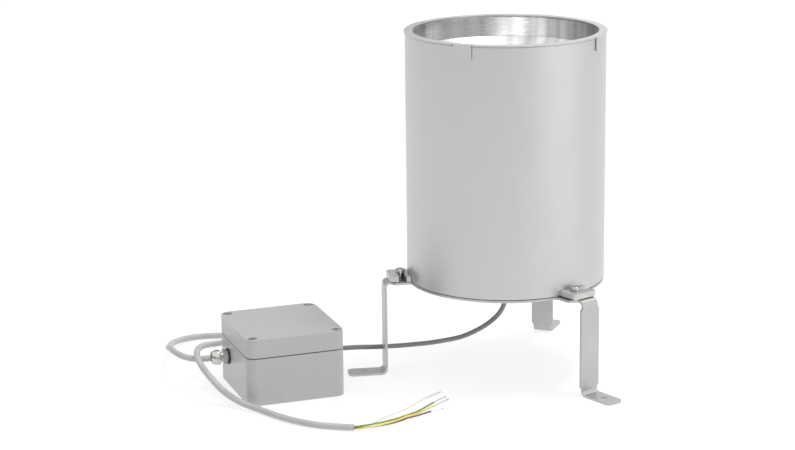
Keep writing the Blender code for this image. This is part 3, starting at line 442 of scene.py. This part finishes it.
def wire_route(name):
    """Four wires turn about each other from the jacket's end, and then part and lie on the ground."""
    start = Vector(OUTPUT_CABLE_ROUTE[-1]) + Vector(BUNDLE_START_STEP)
    bend = Vector((*BUNDLE_BEND, WIRE_REST + BUNDLE_RADIUS))
    end = Vector((*BUNDLE_END, WIRE_REST + BUNDLE_RADIUS))
    along = (end - start).normalized()
    across = along.cross(Vector((0, 0, 1))).normalized()
    upward = across.cross(along)
    last_step = WHITE_LEAVES if name == "wire_white" else BUNDLE_STEPS
    route = []
    for step in range(last_step + 1):
        t = step / BUNDLE_STEPS
        phase = math.radians(WIRE_ORDER_DEG[name]) + 2 * math.pi * BUNDLE_TURNS * t
        centre = start.lerp(bend, t).lerp(bend.lerp(end, t), t)
        centre.z = max(centre.z, WIRE_REST + BUNDLE_RADIUS)
        point = centre + BUNDLE_RADIUS * (math.cos(phase) * across + math.sin(phase) * upward)
        point.z = max(point.z, WIRE_REST)
        route.append(tuple(point))
    return route + WIRE_FANS[name]


def frames_along(points):
    """Two directions across the route at each of its points, turning as little as they can."""
    tangents = []
    for index in range(len(points)):
        ahead = points[min(index + 1, len(points) - 1)]
        behind = points[max(index - 1, 0)]
        tangents.append((ahead - behind).normalized())
    side = tangents[0].cross(Vector((0, 0, 1)))
    side = side.normalized() if side.length > 0.1 else Vector((1, 0, 0))
    across = []
    for tangent in tangents:
        side = (side - tangent * side.dot(tangent)).normalized()
        across.append((side.copy(), tangent.cross(side)))
    return across


def add_tube(work, points, radii, sides, material_index=0):
    """A closed tube along points in a bmesh, with one radius for each point."""
    rings = []
    for point, (side, up), radius in zip(points, frames_along(points), radii):
        ring = []
        for step in range(sides):
            turn = 2 * math.pi * step / sides
            ring.append(work.verts.new(point + radius * (math.cos(turn) * side + math.sin(turn) * up)))
        rings.append(ring)
    for first, second in zip(rings, rings[1:]):
        for step in range(sides):
            after = (step + 1) % sides
            face = work.faces.new((first[step], first[after], second[after], second[step]))
            face.material_index = material_index
            face.smooth = True
    for ring in (list(reversed(rings[0])), rings[-1]):
        work.faces.new(ring).material_index = material_index


def link_mesh(name, work, *materials):
    """Turn a bmesh into an object in the frame's own coordinates."""
    bmesh.ops.recalc_face_normals(work, faces=work.faces)
    mesh = bpy.data.meshes.new(name)
    work.to_mesh(mesh)
    work.free()
    for material in materials:
        mesh.materials.append(material)
    obj = bpy.data.objects.new(name, mesh)
    bpy.context.scene.collection.objects.link(obj)
    return obj


def cut_end_radii(count, radius, end_round):
    """One radius for each point of a jacket whose two ends are slightly rounded."""
    radii = [radius] * count
    radii[0] = radii[-1] = radius * end_round
    return radii


def add_cable(name, route, radius, slot):
    points = smooth_route(beside_gauge(route), CABLE_SPACING)
    work = bmesh.new()
    add_tube(work, points, cut_end_radii(len(points), radius, CABLE_END_ROUND), CABLE_SIDES)
    cable = link_mesh(name + "_jacket", work, MATERIALS[slot])
    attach(cable, "base")
    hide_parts(name)
    return points


def add_wire(name):
    """Insulated wire with a stripped tip of seven twisted strands."""
    points = smooth_route(beside_gauge(wire_route(name)), WIRE_SPACING)
    length = route_length(points)
    step = length / (len(points) - 1)
    insulated = len(points) - round(BARE_LENGTHS[name] / step)
    root = points[0] - WIRE_HIDDEN_START * (points[1] - points[0]).normalized()
    jacket_points = [root, *points[:insulated]]
    work = bmesh.new()
    jacket_radii = cut_end_radii(len(jacket_points), WIRE_RADIUS, WIRE_END_ROUND)
    add_tube(work, jacket_points, jacket_radii, WIRE_SIDES)
    bare = points[insulated - 2:]
    strand = WIRE_RADIUS * STRAND_RATIO
    add_tube(work, bare, [strand] * len(bare), STRAND_SIDES, 1)
    across = frames_along(bare)
    for number in range(OUTER_STRANDS):
        lay = []
        for index, (point, (side, up)) in enumerate(zip(bare, across)):
            turn = 2 * math.pi * (number / OUTER_STRANDS + index * step / STRAND_LAY)
            splay = 1.0 + SPLAY * max(0.0, index / (len(bare) - 1) - SPLAY_START)
            lay.append(point + 2 * strand * splay * (math.cos(turn) * side + math.sin(turn) * up))
        add_tube(work, lay, [strand] * len(lay), STRAND_SIDES, 1)
    wire = link_mesh(name + "_stripped", work, MATERIALS[name], TINNED_COPPER)
    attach(wire, "base")
    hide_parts(name)


def make_cords():
    add_cable("gauge_cable", GAUGE_CABLE_ROUTE, GAUGE_CABLE_RADIUS, "cable_dark")
    output = add_cable("output_cable", OUTPUT_CABLE_ROUTE, OUTPUT_CABLE_RADIUS, "cable_light")
    for name in WIRE_FANS:
        add_wire(name)


make_cords()


# ---------------------------------------------------------------- finer copies of the frame's pieces
SHARP_EDGE_DEG = 35.0               # a bend sharper than this is rounded
SMOOTH_SHADE_DEG = 50.0             # a bend gentler than this is shaded smooth
FLAT_DEG = 0.5                      # faces that differ by less are merged
MERGE_DISTANCE = 0.000002
ROUNDING_SEGMENTS = 2


def sharp_edges(work):
    limit = math.radians(SHARP_EDGE_DEG)
    return [edge for edge in work.edges if len(edge.link_faces) == 2 and edge.calc_face_angle(0) > limit]


def finish_shading(piece):
    """Smooth curved faces, and keep flat faces flat right up to their rounded edges."""
    piece.data.shade_smooth()
    piece.data.set_sharp_from_angle(angle=math.radians(SMOOTH_SHADE_DEG))
    weigh = piece.modifiers.new("flat_faces", "WEIGHTED_NORMAL")
    weigh.keep_sharp = True
    weigh.weight = 100


def finer(node, slot, rounding):
    """A CAD node's shape with flat faces merged, sharp edges rounded and curved faces smooth."""
    work = bmesh.new()
    work.from_mesh(NODES[node].data)
    bmesh.ops.remove_doubles(work, verts=work.verts, dist=MERGE_DISTANCE)
    bmesh.ops.dissolve_limit(work, angle_limit=math.radians(FLAT_DEG), verts=work.verts, edges=work.edges)
    bmesh.ops.bevel(work, geom=sharp_edges(work), offset=rounding, segments=ROUNDING_SEGMENTS, profile=0.5,
                    affect="EDGES", clamp_overlap=True)
    piece = link_mesh(node + "_finished", work, MATERIALS[slot])
    finish_shading(piece)
    return piece


def stand_for(piece, node):
    """A finished piece takes a CAD node's place and body, and the node is hidden."""
    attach(piece, NODES[node]["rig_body"])
    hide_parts(node)


SLOT_OF = {row["node"]: row["material_slot"] for row in frame["record"]["subparts"]}
CORD_NODES = ("gauge_cable", "output_cable", *WIRE_FANS)


EDGE_ROUNDING = {"box_lid": 0.0008, "box_base": 0.0006}
THIN_EDGE_ROUNDING = 0.0003


def make_finer_pieces():
    for node, slot in SLOT_OF.items():
        if node in CORD_NODES:
            continue
        piece = finer(node, slot, EDGE_ROUNDING.get(node, THIN_EDGE_ROUNDING))
        stand_for(piece, node)


make_finer_pieces()


# ---------------------------------------------------------------- floor and light
FLOOR_HALF_SIZE = 12.0
FLOOR_DROP = 0.0002                 # keeps the floor clear of the feet that stand on it
SKY_STRENGTH = 0.42
# a wide dim ceiling, a small bright box in it, a wall of light behind on the right, and a box at the side
LIGHTS = {
    "ceiling": {"at": (0, 0, 5.2), "towards": (0, 0, 0), "size": (14.0, 14.0), "power": 450.0},
    "overhead": {"at": (1.5, 0.4, 5.0), "towards": (0, 0, 0), "size": (1.2, 1.2), "power": 80.0},
    "back_wall": {"at": (3.2, 6.0, 2.0), "towards": (1.5, 0, 0.3), "size": (7.0, 4.0), "power": 60.0},
    "right_box": {"at": (3.2, -1.6, 1.3), "towards": (0, 0, 0.15), "size": (3.0, 2.4), "power": 32.0},
}


def make_floor():
    work = bmesh.new()
    bmesh.ops.create_grid(work, x_segments=1, y_segments=1, size=FLOOR_HALF_SIZE)
    s = Surface("pale_floor", (0.25, 0.25, 0.25), 0.9, emission_strength=0.75, emission_color=(1, 1, 1, 1))
    floor = link_mesh("floor", work, s.material)
    floor.location.z = -FLOOR_DROP


def add_area_light(name, at, towards, size, power):
    data = bpy.data.lights.new(name, "AREA")
    data.shape = "RECTANGLE"
    data.size, data.size_y = size
    data.energy = power
    light = bpy.data.objects.new(name, data)
    light.location = at
    light.rotation_euler = (Vector(towards) - Vector(at)).to_track_quat("-Z", "Y").to_euler()
    bpy.context.scene.collection.objects.link(light)


def make_world():
    """Even white light from all round."""
    world = bpy.data.worlds.new("studio")
    bpy.context.scene.world = world
    world.use_nodes = True
    background = world.node_tree.nodes["Background"]
    background.inputs["Color"].default_value = (1.0, 1.0, 1.0, 1.0)
    background.inputs["Strength"].default_value = SKY_STRENGTH


make_floor()
make_world()
for light_name, light_row in LIGHTS.items():
    add_area_light(light_name, **light_row)
bpy.context.scene.view_settings.view_transform = "Standard"
